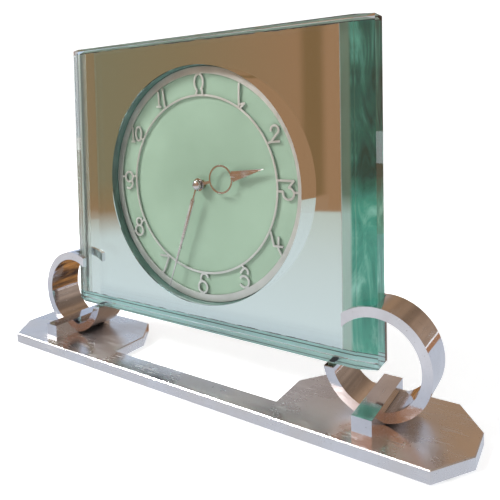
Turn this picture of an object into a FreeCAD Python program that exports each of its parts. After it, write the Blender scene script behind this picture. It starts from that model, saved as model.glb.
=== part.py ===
import FreeCAD, Part
import math
import os

from FreeCAD import Placement, Rotation, Vector

# A mantel clock: a thick bevelled glass slab, silvered at the back, with a round dial let into it.
# Two open chromed rings hold the slab's lower corners and stand on a chromed base plate.
# Millimetres. X runs along the clock, its front faces -Y, +Z is up, and Z = 0 is the table.

doc = FreeCAD.newDocument("mantel_clock")
sheet = doc.addObject("Spreadsheet::Sheet", "sizes")

SIZES = {
    # base plate and its pads
    "foot_height": 1.0, "foot_radius": 7.0, "foot_inset": 14.0,
    "base_length": 324.0, "base_depth": 60.8, "base_thickness": 6.3, "base_front": -42.2,
    "strip_half_length": 61.8, "strip_width": 15.1, "corner_along": 14.8, "corner_across": 19.9,
    "base_chamfer": 0.5,
    # glass slab, silvering and rear panel
    "glass_front": -16.0, "glass_width": 227.4, "glass_height": 180.0, "glass_thickness": 14.5,
    "bevel_inset": 9.8, "bevel_depth": 4.0, "glass_lift": 22.7,
    "dial_hole_radius": 73.3, "dial_drop": 1.0,
    "silver_thickness": 0.2, "silver_top": 1.5, "silver_side": 1.5, "silver_bottom": 4.5,
    "panel_thickness": 2.6, "panel_rise": 3.0, "panel_corner": 3.0, "panel_hole_radius": 38.0,
    "panel_inset": 6.0, "panel_thread": 2.0, "packing_height": 30.0,
    # bracket rings, bars and their screws
    "ring_centre": 114.2, "ring_radius": 28.7, "ring_wall": 5.3, "lip_thickness": 2.9,
    "right_lip_reach": 17.7, "left_lip_reach": 12.6, "slip": 0.1, "pad_thickness": 1.0,
    "bar_width": 10.2, "bar_height": 10.7, "bar_length": 47.0, "bar_setback": 5.2,
    "base_screw_radius": 2.0, "base_screw_head": 3.8, "base_screw_depth": 6.0,
    "lip_screw_radius": 1.4, "lip_screw_offset": 9.0,
    # dial
    "dial_recess": 5.5, "chapter_thickness": 0.7, "chapter_stand": 0.7, "dial_disc_thickness": 0.8,
    "pan_thickness": 1.2, "pan_gap": 0.6, "band_inner": 68.3, "track_radius": 55.0, "track_width": 1.2,
    "stroke_width": 1.25, "stud_circle": 62.0, "stud_radius": 2.5, "pan_screw_radius": 1.3,
    # hands
    "arbor_radius": 1.0, "cannon_radius": 1.7, "pipe_radius": 2.4, "running": 0.03,
    "hand_thickness": 0.6, "hand_gap": 0.8, "hour_length": 50.0, "minute_length": 70.6,
    "hub_radius": 2.9, "hub_height": 2.2, "minute_reading": 33.3, "hour_ring_radius": 8.7,
    "hour_ring_at": 17.6,
    # movement
    "plate_radius": 34.0, "plate_thickness": 1.5, "plates_apart": 14.3, "plate_setback": 1.0,
    "pillar_circle": 30.0, "pillar_radius": 2.0, "foot_post_radius": 1.8, "pivot_radius": 0.5,
    "axle_radius": 0.9, "barrel_radius": 13.4, "barrel_arbor_radius": 2.0, "square_side": 2.9,
    "balance_radius": 7.2, "escape_radius": 5.0, "ratchet_radius": 6.5,
    # rear cover, knob and key
    "cover_radius": 37.5, "cover_wall": 1.0, "cover_depth": 24.3, "flange_radius": 45.0,
    "knob_radius": 6.0, "knob_length": 5.0, "key_span": 20.0,
}

for row, (alias, value) in enumerate(SIZES.items(), start=1):
    sheet.set("A%d" % row, alias)
    sheet.set("B%d" % row, str(value))
    sheet.setAlias("B%d" % row, alias)
doc.recompute()


def size(alias):
    return float(sheet.get(alias))


BACK = Vector(0, 1, 0)
UP = Vector(0, 0, 1)
sides = (("left", -1), ("right", 1))
made = {}


# ---- small builders -------------------------------------------------------------------------

def new_body(label, at=(0, 0, 0)):
    body = doc.addObject("PartDesign::Body", label)
    body.Label = label
    body.Placement = Placement(Vector(*at), Rotation())
    made[label] = body
    return body


def add_sketch(body, plane, loops, level=0.0):
    """Closed loops on an origin plane: a list of points, or ("circle", x, y, radius)."""
    sketch = body.newObject("Sketcher::SketchObject", body.Label + "_sketch")
    origin = [f for f in body.Origin.OriginFeatures if f.Role == plane][0]
    sketch.AttachmentSupport = [(origin, "")]
    sketch.MapMode = "FlatFace"
    sketch.AttachmentOffset = Placement(Vector(0, 0, level), Rotation())
    for loop in loops:
        if loop[0] == "circle":
            circle = Part.Circle(Vector(loop[1], loop[2], 0), UP, loop[3])
            sketch.addGeometry(circle, False)
            continue
        points = [Vector(x, y, 0) for x, y in loop]
        for start, end in zip(points, points[1:] + points[:1]):
            sketch.addGeometry(Part.LineSegment(start, end), False)
    return sketch


def pad_back(label, loops, front, thickness, at=(0, 0)):
    """A plate cut to an outline seen from the front, from depth `front` towards the back."""
    body = new_body(label, (at[0], front, at[1]))
    sketch = add_sketch(body, "XZ_Plane", loops)
    pad = body.newObject("PartDesign::Pad", label + "_pad")
    pad.Profile = sketch
    pad.Reversed = True
    if isinstance(thickness, str):
        pad.setExpression("Length", thickness)
    else:
        pad.Length = thickness
    sketch.Visibility = False
    return body


def pocket_back(body, loops, depth_in, length):
    """A cut from depth_in behind the body's own front towards the back."""
    sketch = add_sketch(body, "XZ_Plane", loops, -depth_in)
    cut = body.newObject("PartDesign::Pocket", body.Label + "_cut")
    cut.Profile = sketch
    cut.Length = length
    cut.Reversed = False
    return cut


def turned(label, profile, at):
    """A turned piece about a front-to-back axis: profile points are (radius, depth)."""
    body = new_body(label, at)
    sketch = add_sketch(body, "XY_Plane", [profile])
    turn = body.newObject("PartDesign::Revolution", label + "_turn")
    turn.Profile = sketch
    turn.ReferenceAxis = (sketch, ["V_Axis"])
    turn.Angle = 360.0
    return body


def shape_node(label, shape, at=(0, 0, 0)):
    """A piece whose outline is generated, such as a toothed wheel."""
    feature = doc.addObject("Part::Feature", label)
    feature.Label = label
    feature.Shape = shape
    feature.Placement = Placement(Vector(*at), Rotation())
    made[label] = feature
    return feature


def rod(radius, front, back, x=0.0, z=0.0):
    return Part.makeCylinder(radius, back - front, Vector(x, front, z), BACK)


def tube(outer, inner, front, back, x=0.0, z=0.0):
    return rod(outer, front, back, x, z).cut(rod(inner, front - 1, back + 1, x, z))


def block(x0, x1, y0, y1, z0, z1):
    return Part.makeBox(x1 - x0, y1 - y0, z1 - z0, Vector(x0, y0, z0))


def plate_from(points, front, back):
    """A flat piece between two depths from outline points (x, z)."""
    corners = [Vector(x, front, z) for x, z in points]
    face = Part.Face(Part.makePolygon(corners + corners[:1]))
    return face.extrude(Vector(0, back - front, 0))


def polar(radius, degrees):
    angle = math.radians(degrees)
    return radius * math.cos(angle), radius * math.sin(angle)


def around(points, degrees):
    """Outline points turned clockwise, as seen from the front."""
    angle = -math.radians(degrees)
    cos, sin = math.cos(angle), math.sin(angle)
    return [(x * cos - z * sin, x * sin + z * cos) for x, z in points]


def fused(shapes):
    whole = shapes[0].fuse(shapes[1:]) if len(shapes) > 1 else shapes[0]
    return whole.removeSplitter()


# ---- base plate: a strip between two eight-sided lobes, with pads and screws ----------------

base_bottom = size("foot_height")
base_top = base_bottom + size("base_thickness")
base_front = size("base_front")
base_back = base_front + size("base_depth")
half_length = size("base_length") / 2
lobe_in = size("strip_half_length")
along = size("corner_along")
across = size("corner_across")
strip_back = base_front + size("strip_width")

right_half = [
    (half_length - along, base_front), (half_length, base_front + across),
    (half_length, base_back - across), (half_length - along, base_back),
    (lobe_in + along, base_back), (lobe_in, base_back - across), (lobe_in, strip_back),
]
outline = right_half + [(-x, y) for x, y in reversed(right_half)]

bar_front = base_front + size("bar_setback")
bar_back = bar_front + size("bar_length")
ring_x = size("ring_centre")
slip = size("slip")
ring_front = size("glass_front") - size("lip_thickness") - slip
panel_front = size("glass_front") + size("glass_thickness") + size("silver_thickness")
panel_back = panel_front + size("panel_thickness")
ring_back = panel_back + slip + size("lip_thickness")
screw_y = ((bar_front + ring_front) / 2, (bar_back + ring_back) / 2)
screw_places = [(side * ring_x, y) for _, side in sides for y in screw_y]

base = new_body("base_plate", (0, 0, base_bottom))
base_sketch = add_sketch(base, "XY_Plane", [outline])
base_pad = base.newObject("PartDesign::Pad", "base_pad")
base_pad.Profile = base_sketch
base_pad.setExpression("Length", "sizes.base_thickness")
doc.recompute()
rim = [
    "Edge%d" % (i + 1) for i, edge in enumerate(base.Shape.Edges)
    if min(v.Z for v in edge.Vertexes) > base_top - 1e-6
]
base_edge = base.newObject("PartDesign::Chamfer", "base_edge")
base_edge.Base = (base_pad, rim)
base_edge.setExpression("Size", "sizes.base_chamfer")
base.Tip = base_edge
holes = add_sketch(base, "XY_Plane", [("circle", x, y, size("base_screw_radius")) for x, y in screw_places])
base_holes = base.newObject("PartDesign::Pocket", "base_holes")
base_holes.Profile = holes
base_holes.Type = "ThroughAll"
base_holes.Midplane = True
sink = size("base_screw_head")
sinks = add_sketch(base, "XY_Plane", [("circle", x, y, sink) for x, y in screw_places])
base_sinks = base.newObject("PartDesign::Pocket", "base_sinks")
base_sinks.Profile = sinks
base_sinks.Length = size("base_thickness") / 2
base_sinks.Reversed = True

foot_x = (lobe_in + size("foot_inset"), half_length - size("foot_inset"))
foot_y = (base_front + size("foot_inset"), base_back - size("foot_inset"))
feet = [
    Part.makeCylinder(size("foot_radius"), base_bottom, Vector(side * x, y, 0), UP)
    for _, side in sides for x in foot_x for y in foot_y
]
shape_node("base_pads", Part.makeCompound(feet))

head_top = base_bottom + size("base_thickness") / 2
head_sunk = 0.6
slot_half = 0.5
slot_deep = 1.0
screws = []
for x, y in screw_places:
    head_from = base_bottom + head_sunk
    head = Part.makeCylinder(sink - slip, head_top - head_from, Vector(x, y, head_from), UP)
    slot = block(x - sink, x + sink, y - slot_half, y + slot_half, base_bottom, head_from + slot_deep)
    shank_length = base_top + size("base_screw_depth") - head_top
    shank = Part.makeCylinder(size("base_screw_radius") - 0.02, shank_length, Vector(x, y, head_top), UP)
    screws.append(fused([head.cut(slot), shank]))
shape_node("base_screws", Part.makeCompound(screws))


# ---- bracket rings and the bars that saddle them --------------------------------------------

ring_r = size("ring_radius")
ring_in = ring_r - size("ring_wall")
ring_z = base_top + ring_r
ring_depth = ring_back - ring_front
glass_bottom = base_top + size("glass_lift")
glass_top = glass_bottom + size("glass_height")
glass_side = size("glass_width") / 2
seat_z = glass_bottom - size("pad_thickness")
bar_height = size("bar_height")
saddle_height = size("ring_wall") + 0.75
screw_dx = size("lip_screw_offset")
screw_dz = math.sqrt((ring_r - size("ring_wall") / 2) ** 2 - screw_dx ** 2)

for name, side in sides:
    reach = size(name + "_lip_reach")
    ring = pad_back("bracket_ring_" + name, [("circle", 0, 0, ring_r), ("circle", 0, 0, ring_in)],
                    ring_front, ring_depth, (side * ring_x, ring_z))
    far = -side * 2 * ring_r
    seat = seat_z - ring_z
    lip_end = -side * reach
    over = 2 * ring_r
    pocket_back(ring, [[(lip_end, seat), (far, seat), (far, over), (lip_end, over)]], 0, ring_depth)
    slot_x = side * (glass_side + slip - ring_x)
    slot = [(slot_x, seat), (far, seat), (far, over), (slot_x, over)]
    slot_depth = ring_depth - 2 * size("lip_thickness")
    pocket_back(ring, [slot], size("lip_thickness"), slot_depth)
    hole = [("circle", -side * screw_dx, screw_dz, size("lip_screw_radius") + slip)]
    pocket_back(ring, hole, ring_depth - size("lip_thickness"), size("lip_thickness"))

    bar_x = side * ring_x
    half = size("bar_width") / 2
    bar = new_body("bracket_bar_" + name, (bar_x, 0, base_top))
    bar_plan = [(-half, bar_front), (half, bar_front), (half, bar_back), (-half, bar_back)]
    bar_sketch = add_sketch(bar, "XY_Plane", [bar_plan])
    bar_pad = bar.newObject("PartDesign::Pad", "bar_pad")
    bar_pad.Profile = bar_sketch
    bar_pad.setExpression("Length", "sizes.bar_height")
    saddle_plan = [(-half - 1, ring_front - slip), (half + 1, ring_front - slip),
                   (half + 1, ring_back + slip), (-half - 1, ring_back + slip)]
    saddle = add_sketch(bar, "XY_Plane", [saddle_plan])
    saddle_cut = bar.newObject("PartDesign::Pocket", "saddle_cut")
    saddle_cut.Profile = saddle
    saddle_cut.Length = saddle_height
    saddle_cut.Reversed = True
    taps = add_sketch(bar, "XY_Plane", [("circle", 0, y, size("base_screw_radius")) for y in screw_y])
    tap_cut = bar.newObject("PartDesign::Pocket", "tap_cut")
    tap_cut.Profile = taps
    tap_cut.Length = size("base_screw_depth") + 0.5
    tap_cut.Reversed = True

seat_drop = ring_z - seat_z
seat_from = math.sqrt(ring_in ** 2 - seat_drop ** 2)
seat_to = math.sqrt(ring_r ** 2 - seat_drop ** 2)
pads = []
for _, side in sides:
    ends = sorted((side * (ring_x - seat_from - 0.4), side * (ring_x - seat_to + 0.6)))
    pads.append(block(ends[0], ends[1], size("glass_front") + 0.5, panel_front - 0.5, seat_z, glass_bottom))
shape_node("support_pads", Part.makeCompound(pads))

lip_screws = []
thread = size("panel_thread")
for _, side in sides:
    x = side * (ring_x - screw_dx)
    z = ring_z + screw_dz
    radius = size("lip_screw_radius")
    head = rod(radius * 1.9, ring_back, ring_back + 1.6, x, z)
    slot = block(x - 4, x + 4, ring_back + 0.9, ring_back + 2, z - 0.4, z + 0.4)
    lip_screws.append(fused([head.cut(slot), rod(radius, panel_back - thread, ring_back, x, z)]))
shape_node("lip_screws", Part.makeCompound(lip_screws))


# ---- glass slab with bevelled ends, silvering and rear panel --------------------------------

dial_z = (glass_bottom + glass_top) / 2 - size("dial_drop")
glass_front = size("glass_front")
glass_back = glass_front + size("glass_thickness")
inset = size("bevel_inset")
plan = [
    (-glass_side + inset, 0), (glass_side - inset, 0), (glass_side, size("bevel_depth")),
    (glass_side, size("glass_thickness")), (-glass_side, size("glass_thickness")),
    (-glass_side, size("bevel_depth")),
]
glass = new_body("glass_slab", (0, glass_front, glass_bottom))
glass_sketch = add_sketch(glass, "XY_Plane", [plan])
glass_pad = glass.newObject("PartDesign::Pad", "glass_pad")
glass_pad.Profile = glass_sketch
glass_pad.setExpression("Length", "sizes.glass_height")
dial_hole = [("circle", 0, dial_z - glass_bottom, size("dial_hole_radius"))]
pocket_back(glass, dial_hole, 0, size("glass_thickness"))

hole_r = size("dial_hole_radius")
silver_x = glass_side - size("silver_side")
silver_outline = [
    (-silver_x, glass_bottom + size("silver_bottom") - dial_z),
    (silver_x, glass_bottom + size("silver_bottom") - dial_z),
    (silver_x, glass_top - size("silver_top") - dial_z),
    (-silver_x, glass_top - size("silver_top") - dial_z),
]
pad_back("mirror_silvering", [silver_outline, ("circle", 0, 0, hole_r + 0.4)],
         glass_back, "sizes.silver_thickness", (0, dial_z))

cut = size("panel_corner")
low = glass_bottom + size("panel_rise") - dial_z
high = glass_top - size("panel_rise") - dial_z
panel_x = glass_side - size("panel_inset")
panel_outline = [
    (-panel_x + cut, low), (panel_x - cut, low), (panel_x, low + cut), (panel_x, high - cut),
    (panel_x - cut, high), (-panel_x + cut, high), (-panel_x, high - cut), (-panel_x, low + cut),
]
stud_places = [polar(size("stud_circle"), a) for a in (45, 135, 225, 315)]
flange_places = [polar(size("flange_radius") - 3.2, a) for a in (0, 120, 240)]
panel = pad_back("rear_panel", [panel_outline, ("circle", 0, 0, size("panel_hole_radius"))],
                 panel_front, "sizes.panel_thickness", (0, dial_z))
panel_holes = [("circle", x, z, size("pan_screw_radius")) for x, z in stud_places]
pocket_back(panel, panel_holes, 0, size("panel_thickness"))
thread_holes = [("circle", x, z, size("pan_screw_radius")) for x, z in flange_places]
for _, side in sides:
    screw_z = ring_z + screw_dz - dial_z
    thread_holes.append(("circle", side * (ring_x - screw_dx), screw_z, size("lip_screw_radius")))
pocket_back(panel, thread_holes, size("panel_thickness") - thread, thread)

strips = []
for _, side in sides:
    ends = sorted((side * (panel_x + slip), side * glass_side))
    strips.append(block(ends[0], ends[1], panel_front, panel_back, glass_bottom,
                        glass_bottom + size("packing_height")))
shape_node("packing_strips", Part.makeCompound(strips))


# ---- dial: pan, painted disc, pierced chapter ring ------------------------------------------

chapter_front = glass_front + size("dial_recess")
chapter_back = chapter_front + size("chapter_thickness")
disc_front = chapter_back + size("chapter_stand")
disc_back = disc_front + size("dial_disc_thickness")
pan_back = disc_back + size("pan_thickness")
pan_r = hole_r - size("pan_gap")
pipe_hole = size("pipe_radius") + 0.3

pan_profile = [
    (pipe_hole, 0), (pan_r, 0), (pan_r, panel_front - disc_back),
    (pan_r - size("pan_thickness"), panel_front - disc_back),
    (pan_r - size("pan_thickness"), size("pan_thickness")), (pipe_hole, size("pan_thickness")),
]
turned("dial_pan", pan_profile, (0, disc_back, dial_z))
turned("dial_disc", [(pipe_hole, 0), (pan_r - 0.1, 0), (pan_r - 0.1, size("dial_disc_thickness")),
                     (pipe_hole, size("dial_disc_thickness"))], (0, disc_front, dial_z))

# Numeral strokes as open lines in a cell 10 wide and 13 high about its own centre.
ARC = 24.0


def arc(cx, cy, rx, ry, start, end):
    count = max(3, int(abs(end - start) / ARC) + 1)
    steps = [start + (end - start) * i / (count - 1) for i in range(count)]
    return [(cx + rx * math.cos(math.radians(a)), cy + ry * math.sin(math.radians(a))) for a in steps]


NUMERALS = {
    1: [[(-1.0, 7.4), (-1.4, -6.9)], [(-1.2, -5.2), (2.6, -4.8), (-0.2, -7.2)]],
    2: [arc(0.2, 2.4, 2.6, 2.6, 200, -60) + [(-2.4, -4.4), (3.6, -4.0)], [(-2.4, -4.4), (-4.4, -5.0)]],
    3: [[(-6.9, 5.0), (3.6, 5.0)] + arc(0.2, -2.2, 3.6, 3.4, 86, -200), [(3.6, -1.4), (7.0, -1.4)],
        [(-3.2, -1.2), (-7.0, -1.2)]],
    4: [[(-3.6, 6.4), (-1.6, -1.6), (4.6, -1.6)], [(1.6, 4.0), (1.4, -3.0), (3.4, -6.4)],
        [(-3.6, 6.4), (-5.0, 6.6)]],
    5: [arc(0.2, -2.6, 3.4, 3.4, 150, -150), [(-2.6, 2.2)] + arc(0.6, 3.2, 2.4, 2.4, 100, -30),
        [(0.4, 5.4), (-1.4, 7.4)], [(2.2, -5.0), (3.6, -6.6)]],
    6: [arc(0.0, -2.2, 3.4, 3.6, 0, 360), arc(1.4, 3.0, 3.0, 3.4, 20, 200) + [(-3.2, -1.0)],
        [(0.0, -5.4), (0.0, -7.0)], [(1.6, 6.2), (1.6, 7.6)]],
    7: [[(-4.4, 5.4), (3.4, 5.4), (-1.0, -4.6)], [(-1.0, -4.6), (-3.2, -6.4)]],
    8: [arc(0.0, 3.2, 2.4, 2.4, 0, 360), arc(0.0, -2.6, 3.4, 3.4, 0, 360), [(2.2, 3.4), (4.8, 4.8)],
        [(-3.2, -3.0), (-5.4, -4.4)]],
    9: [arc(0.0, 2.2, 3.4, 3.4, 0, 360), arc(-0.6, -2.0, 3.8, 3.8, 20, -120), [(3.2, 2.6), (7.2, 3.0)],
        [(-3.2, 2.2), (-7.2, 2.2)]],
    10: [[(-3.8, 4.4), (-3.4, -4.8)], [(-5.4, -4.8), (-1.6, -4.8)], arc(1.6, 0.4, 2.6, 4.6, 0, 360),
         [(-3.8, 4.2), (-6.0, 4.8)], [(3.6, -2.6), (5.6, -3.6)]],
    11: [[(-2.6, 4.4), (-2.0, -4.8)], [(-4.4, -4.8), (-0.2, -4.8)], [(1.0, 6.8), (2.8, -4.4)],
         [(-2.6, 4.2), (-4.4, 6.6)], [(2.8, -4.2), (4.2, -6.2)]],
    12: [arc(0.0, 1.0, 3.4, 5.2, 250, -60), [(-1.2, -3.8), (-2.6, -6.8)],
         [(1.7, -3.4), (2.6, -3.8), (2.9, -6.8)], [(0.0, 6.0), (0.0, 7.6)]],
}
stroke = size("stroke_width")


def stroke_solid(points):
    """A flat bar of constant width along an open line, with mitred joints."""
    left, right = [], []
    last = len(points) - 1
    closed = math.dist(points[0], points[last]) < 1e-6
    for i, (x, y) in enumerate(points):
        before = points[i - 1] if i > 0 else (points[last - 1] if closed else points[0])
        after = points[i + 1] if i < last else (points[1] if closed else points[last])
        dx1, dy1 = x - before[0], y - before[1]
        dx2, dy2 = after[0] - x, after[1] - y
        n1, n2 = math.hypot(dx1, dy1), math.hypot(dx2, dy2)
        if n1 < 1e-9:
            dx1, dy1, n1 = dx2, dy2, n2
        if n2 < 1e-9:
            dx2, dy2, n2 = dx1, dy1, n1
        nx, ny = -(dy1 / n1 + dy2 / n2), dx1 / n1 + dx2 / n2
        length = math.hypot(nx, ny)
        nx, ny = nx / length, ny / length
        cosine = max(0.45, nx * -dy1 / n1 + ny * dx1 / n1)
        offset = stroke / 2 / cosine
        left.append((x + nx * offset, y + ny * offset))
        right.append((x - nx * offset, y - ny * offset))
    if closed:
        outer = plate_from(right, chapter_front, chapter_back)
        inner = plate_from(left, chapter_front - 1, chapter_back + 1)
        if outer.Volume < plate_from(left, chapter_front, chapter_back).Volume:
            outer = plate_from(left, chapter_front, chapter_back)
            inner = plate_from(right, chapter_front - 1, chapter_back + 1)
        return outer.cut(inner)
    return plate_from(left + right[::-1], chapter_front, chapter_back)


def stroke_pieces(points):
    """The line cut at its sharp corners, with a round joint at each."""
    if math.dist(points[0], points[-1]) < 1e-6:
        return [stroke_solid(points[:-1] + points[:1])]
    pieces, joints, run = [], [], [points[0]]
    for before, here, after in zip(points, points[1:], points[2:]):
        run.append(here)
        heading = math.atan2(here[1] - before[1], here[0] - before[0])
        turn = math.atan2(after[1] - here[1], after[0] - here[0]) - heading
        if abs(math.remainder(turn, 2 * math.pi)) > math.radians(50):
            pieces.append(run)
            joints.append(here)
            run = [here]
    pieces.append(run + [points[-1]])
    solids = [stroke_solid(piece) for piece in pieces]
    return solids + [rod(stroke / 2, chapter_front, chapter_back, x, z) for x, z in joints]


numeral_circle = (size("band_inner") + size("track_radius") + size("track_width") / 2) / 2
band = tube(pan_r - 0.1, size("band_inner"), chapter_front, chapter_back)
track = tube(size("track_radius") + size("track_width") / 2, size("track_radius") - size("track_width") / 2,
             chapter_front, chapter_back)
ring_parts = [band, track]
for hour, strokes in NUMERALS.items():
    cx, cz = polar(numeral_circle, 90 - 30 * hour)
    for line in strokes:
        for solid in stroke_pieces(line):
            solid.translate(Vector(cx, 0, cz))
            ring_parts.append(solid)
chapter = fused(ring_parts)
limit = tube(pan_r - 0.1, size("track_radius") - size("track_width") / 2, chapter_front - 1, chapter_back + 1)
chapter = chapter.common(limit).removeSplitter()
shape_node("chapter_ring", chapter, (0, 0, dial_z))

band_middle = (pan_r + size("band_inner")) / 2
stand = [rod(0.9, chapter_back, disc_front, *polar(band_middle, 15 + 30 * k)) for k in range(12)]
shape_node("chapter_spacers", Part.makeCompound(stand), (0, 0, dial_z))

studs = [
    tube(size("stud_radius"), size("pan_screw_radius"), pan_back, panel_front, x, z) for x, z in stud_places
]
shape_node("pan_studs", Part.makeCompound(studs), (0, 0, dial_z))


def cheese_screw(x, z, head_front, shank_front, radius):
    """A slotted screw driven from behind: its head sits on head_front."""
    head = rod(radius * 1.9, head_front, head_front + 1.5, x, z)
    slot = block(x - 4, x + 4, head_front + 0.8, head_front + 2, z - 0.35, z + 0.35)
    return fused([head.cut(slot), rod(radius, shank_front, head_front, x, z)])


pan_screws = [
    cheese_screw(x, z, panel_back, pan_back + 0.6, size("pan_screw_radius")) for x, z in stud_places
]
shape_node("pan_screws", Part.makeCompound(pan_screws), (0, 0, dial_z))


# ---- toothed wheels -------------------------------------------------------------------------

PRESSURE = math.radians(20)


def involute(angle):
    return math.tan(angle) - angle


def tooth_outline(teeth, module, phase, share=0.43, top=0.72, bottom=1.1):
    """Outline of a wheel with stub involute teeth, one tooth centred on `phase` degrees."""
    pitch = teeth * module / 2
    base = pitch * math.cos(PRESSURE)
    tip = pitch + top * module
    root = pitch - bottom * module
    half_pitch = share * math.pi / teeth
    start = max(root, base * 1.0005)
    flank = []
    for step in range(4):
        radius = start + (tip - start) * step / 3
        angle = math.acos(min(1.0, base / radius))
        flank.append((radius, half_pitch + involute(PRESSURE) - involute(angle)))
    points = []
    for tooth in range(teeth):
        centre = math.radians(phase) + 2 * math.pi * tooth / teeth
        side_down = [(root, flank[0][1] * 1.05)] + flank
        for radius, half_angle in side_down:
            points.append((radius * math.cos(centre - half_angle), radius * math.sin(centre - half_angle)))
        for radius, half_angle in reversed(side_down):
            points.append((radius * math.cos(centre + half_angle), radius * math.sin(centre + half_angle)))
    return points


def wheel(teeth, module, front, back, phase=0.0):
    return plate_from(tooth_outline(teeth, module, phase), front, back)


def crossed(shape, front, back, hub, rim_radius, arms=4, width=1.1):
    """Cut the windows between hub and rim, leaving straight arms."""
    window = tube(rim_radius, hub, front - 1, back + 1)
    for k in range(arms):
        arm = block(0, rim_radius + 1, front - 1, back + 1, -width / 2, width / 2)
        arm.rotate(Vector(0, 0, 0), BACK, 360.0 * k / arms + 20)
        window = window.cut(arm)
    return shape.cut(window)


def mesh_phase(teeth, towards, gap):
    """Phase that puts a tooth, or a gap, on the line towards the other wheel."""
    return towards + (180.0 / teeth if gap else 0.0)


MOTION_MODULE, HOUR_MODULE = 0.5, 0.4
GREAT_MODULE, CENTRE_MODULE, THIRD_MODULE = 0.34, 0.28, 0.25
BARREL_TEETH, CENTRE_TEETH, THIRD_TEETH, PINION_TEETH = 84, 84, 72, 12
CANNON_TEETH, MINUTE_TEETH, MINUTE_PINION_TEETH, HOUR_TEETH = 12, 36, 12, 48

motion_distance = (CANNON_TEETH + MINUTE_TEETH) * MOTION_MODULE / 2
motion_angle = -40.0
barrel_distance = (BARREL_TEETH + PINION_TEETH) * GREAT_MODULE / 2
barrel_angle = 225.0
third_distance = (CENTRE_TEETH + PINION_TEETH) * CENTRE_MODULE / 2
third_angle = 20.0
escape_distance = (THIRD_TEETH + PINION_TEETH) * THIRD_MODULE / 2
escape_angle = 100.0
lever_angle = 175.0
lever_distance = size("escape_radius") + 1.0
balance_distance = size("balance_radius") + 1.2

motion_at = polar(motion_distance, motion_angle)
barrel_at = polar(barrel_distance, barrel_angle)
third_at = polar(third_distance, third_angle)
step_x, step_z = polar(escape_distance, escape_angle)
escape_at = (third_at[0] + step_x, third_at[1] + step_z)
step_x, step_z = polar(lever_distance, lever_angle)
lever_at = (escape_at[0] + step_x, escape_at[1] + step_z)
step_x, step_z = polar(balance_distance, lever_angle)
balance_at = (lever_at[0] + step_x, lever_at[1] + step_z)

running = size("running")
pivot = size("pivot_radius")
axle = size("axle_radius")
arbor_r = size("arbor_radius")
cannon_r = size("cannon_radius")
pipe_r = size("pipe_radius")

plate1_front = panel_back + size("plate_setback")
plate1_back = plate1_front + size("plate_thickness")
plate2_front = plate1_back + size("plates_apart")
plate2_back = plate2_front + size("plate_thickness")


def placed(point):
    return (point[0], 0, dial_z + point[1])


# ---- hands and the work that carries them ---------------------------------------------------

hand_t = size("hand_thickness")
nut_back = glass_front + 1.6
minute_front = nut_back
minute_back = minute_front + hand_t
hour_front = minute_back + size("hand_gap")
hour_back = hour_front + hand_t
minute_turn = 6.0 * size("minute_reading")
hour_turn = 60.0 + minute_turn / 12

hub = size("hub_radius")
minute_length = size("minute_length")
lance = [(0.55, 0), (0.55, 8.5), (1.35, 10.5), (1.25, 22.0), (0.15, minute_length)]
lance_outline = around(lance + [(-x, z) for x, z in reversed(lance)], minute_turn)
lance_shape = plate_from(lance_outline, minute_front, minute_back)
minute_shape = fused([lance_shape, rod(hub, minute_front, minute_back)])
shape_node("minute_hand", minute_shape.cut(rod(arbor_r, minute_front - 1, minute_back + 1)), (0, 0, dial_z))

hoop_r = size("hour_ring_radius")
hoop_at = size("hour_ring_at")
hour_length = size("hour_length")
hoop_x, hoop_z = around([(0, hoop_at)], hour_turn)[0]
hoop = tube(hoop_r, hoop_r - 1.1, hour_front, hour_back, hoop_x, hoop_z)
neck_end = hoop_at - hoop_r + 0.6
neck_outline = [(-1.2, 0), (1.2, 0), (0.8, neck_end), (-0.8, neck_end)]
neck = plate_from(around(neck_outline, hour_turn), hour_front, hour_back)
point_base = hoop_at + hoop_r - 0.5
point_outline = [(-3.2, point_base + 0.6), (0, point_base), (3.2, point_base + 0.6), (0, hour_length)]
point = plate_from(around(point_outline, hour_turn), hour_front, hour_back)
hour_shape = fused([rod(pipe_r + 1.6, hour_front, hour_back), neck, hoop, point])
hour_bore = rod(cannon_r + running, hour_front - 1, hour_back + 1)
shape_node("hour_hand", hour_shape.cut(hour_bore), (0, 0, dial_z))

nut_height = size("hub_height")
dome = [(0, -nut_height), (hub * 0.45, -nut_height * 0.93), (hub * 0.8, -nut_height * 0.68),
        (hub, -nut_height * 0.25), (hub, 0), (arbor_r, 0), (arbor_r, -0.9), (0, -0.9)]
turned("hand_nut", dome, (0, nut_back, dial_z))

hour_wheel_front = pan_back + 0.9
hour_wheel_back = hour_wheel_front + 1.0
cannon_teeth_front = hour_wheel_back + 1.8
cannon_teeth_back = cannon_teeth_front + 2.0
cannon_end = plate1_front - 0.3
cannon_phase = mesh_phase(CANNON_TEETH, motion_angle, False)
cannon = fused([
    rod(cannon_r, minute_back, cannon_end),
    wheel(CANNON_TEETH, MOTION_MODULE, cannon_teeth_front, cannon_teeth_back, cannon_phase),
])
shape_node("cannon_pinion", cannon.cut(rod(arbor_r, minute_back - 1, cannon_end + 1)), (0, 0, dial_z))

hour_phase = mesh_phase(HOUR_TEETH, motion_angle, False)
hour_disc = wheel(HOUR_TEETH, HOUR_MODULE, hour_wheel_front, hour_wheel_back, hour_phase)
hour_disc = crossed(hour_disc, hour_wheel_front, hour_wheel_back, 4.0, 7.8)
hour_pipe = fused([hour_disc, rod(pipe_r, hour_back, hour_wheel_back)])
pipe_bore = rod(cannon_r + running, hour_back - 1, hour_wheel_back + 1)
shape_node("hour_wheel", hour_pipe.cut(pipe_bore), (0, 0, dial_z))

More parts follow.
